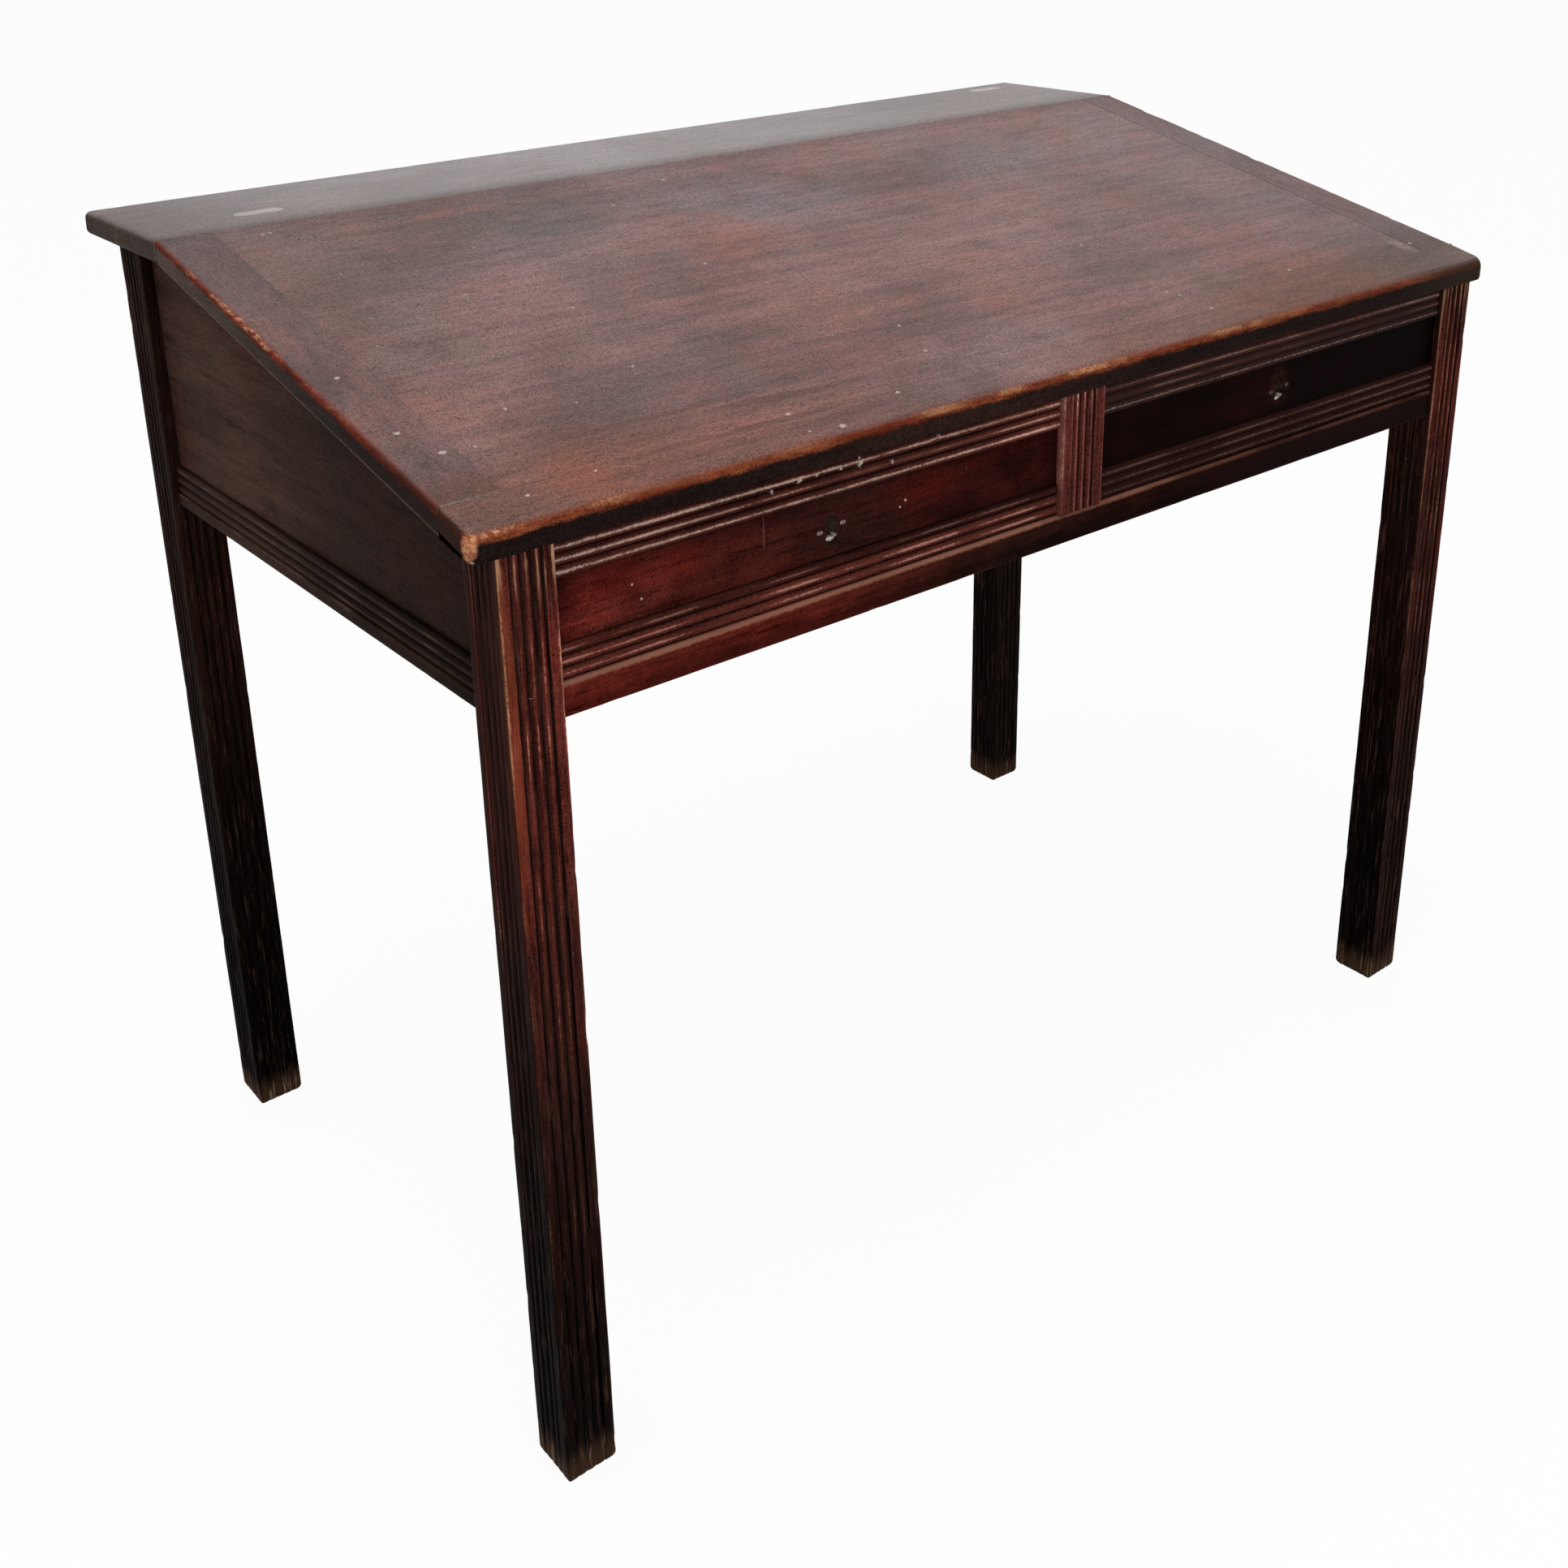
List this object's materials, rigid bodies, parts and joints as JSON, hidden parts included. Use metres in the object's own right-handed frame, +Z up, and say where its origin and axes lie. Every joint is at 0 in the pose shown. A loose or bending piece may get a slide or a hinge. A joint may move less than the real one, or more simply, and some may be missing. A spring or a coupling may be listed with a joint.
{
  "type": "writing desk",
  "caption": "Writing desk with a sloping top, a level board behind it, drawers side by side under the front edge, and reeded square legs; drawers slide and lock.",
  "frame": {"origin": "on the floor under the middle of the top", "axes": "+X to the right seen from the front, +Y to the back, +Z up"},
  "size_m": [1.08, 0.634, 0.877],
  "materials": {
    "leg_wood": "dark red-brown stain, worn at the edges",
    "flat_wood": "dull grey-brown polish",
    "slope_wood": "worn red-brown polish with a grey haze",
    "edge_wood": "worn red-brown polish, bare at the edges",
    "rail_wood": "dark red-brown stain",
    "stile_wood": "red-brown stain, worn",
    "side_wood": "dull grey-brown stain",
    "side_strip_wood": "dull dark brown stain",
    "front_wood": "dark red stain, patchy",
    "strip_wood": "dark red stain, rubbed pale on the reeds",
    "back_wood": "dull brown stain",
    "inner_wood": "bare softwood darkened with age",
    "drawer_wood": "bare wood darkened with age",
    "patch_wood": "pale bare wood",
    "lock_iron": "dull, lightly rusted",
    "bolt_steel": "dull",
    "screw_steel": "dull"
  },
  "bodies": {
    "frame": {"leg_front_left": "leg_wood", "leg_front_right": "leg_wood", "leg_back_left": "leg_wood", "leg_back_right": "leg_wood", "flat_board": "flat_wood", "patch_left": "patch_wood", "patch_right": "patch_wood", "slope_panel": "slope_wood", "slope_cleat_left": "edge_wood", "slope_cleat_right": "edge_wood", "slope_front_strip": "edge_wood", "front_bottom_rail": "rail_wood", "front_top_rail": "inner_wood", "centre_stile": "stile_wood", "side_rail_left": "side_strip_wood", "side_rail_right": "side_strip_wood", "side_reeded_strip_left": "side_strip_wood", "side_reeded_strip_right": "side_strip_wood", "side_panel_left": "side_wood", "side_panel_right": "side_wood", "back_rail": "back_wood", "back_panel": "back_wood", "runner_left": "inner_wood", "runner_right": "inner_wood", "runner_centre": "inner_wood", "guide_left": "inner_wood", "guide_right": "inner_wood", "guide_centre": "inner_wood", "kicker_left": "inner_wood", "kicker_right": "inner_wood", "kicker_centre": "inner_wood", "glue_blocks": "inner_wood"},
    "drawer_left": {"drawer_left_front": "front_wood", "drawer_left_upper_strip": "strip_wood", "drawer_left_lower_strip": "strip_wood", "drawer_left_inner_side": "drawer_wood", "drawer_left_outer_side": "drawer_wood", "drawer_left_back": "drawer_wood", "drawer_left_bottom": "drawer_wood", "drawer_left_lock_case": "lock_iron", "drawer_left_lock_screws": "screw_steel"},
    "bolt_left": {"drawer_left_lock_bolt": "bolt_steel"},
    "drawer_right": {"drawer_right_front": "front_wood", "drawer_right_upper_strip": "strip_wood", "drawer_right_lower_strip": "strip_wood", "drawer_right_inner_side": "drawer_wood", "drawer_right_outer_side": "drawer_wood", "drawer_right_back": "drawer_wood", "drawer_right_bottom": "drawer_wood", "drawer_right_lock_case": "lock_iron", "drawer_right_lock_screws": "screw_steel"},
    "bolt_right": {"drawer_right_lock_bolt": "bolt_steel"}
  },
  "joints": [
    {"name": "drawer_left_slide", "type": "slide", "parent": "frame", "child": "drawer_left", "axis": [0, -1, 0], "range_m": [0, 0.32]},
    {"name": "drawer_right_slide", "type": "slide", "parent": "frame", "child": "drawer_right", "axis": [0, -1, 0], "range_m": [0, 0.32]},
    {"name": "bolt_left_rise", "type": "slide", "parent": "drawer_left", "child": "bolt_left", "axis": [0, 0, 1], "range_m": [0, 0.011]},
    {"name": "bolt_right_rise", "type": "slide", "parent": "drawer_right", "child": "bolt_right", "axis": [0, 0, 1], "range_m": [0, 0.011]}
  ]
}
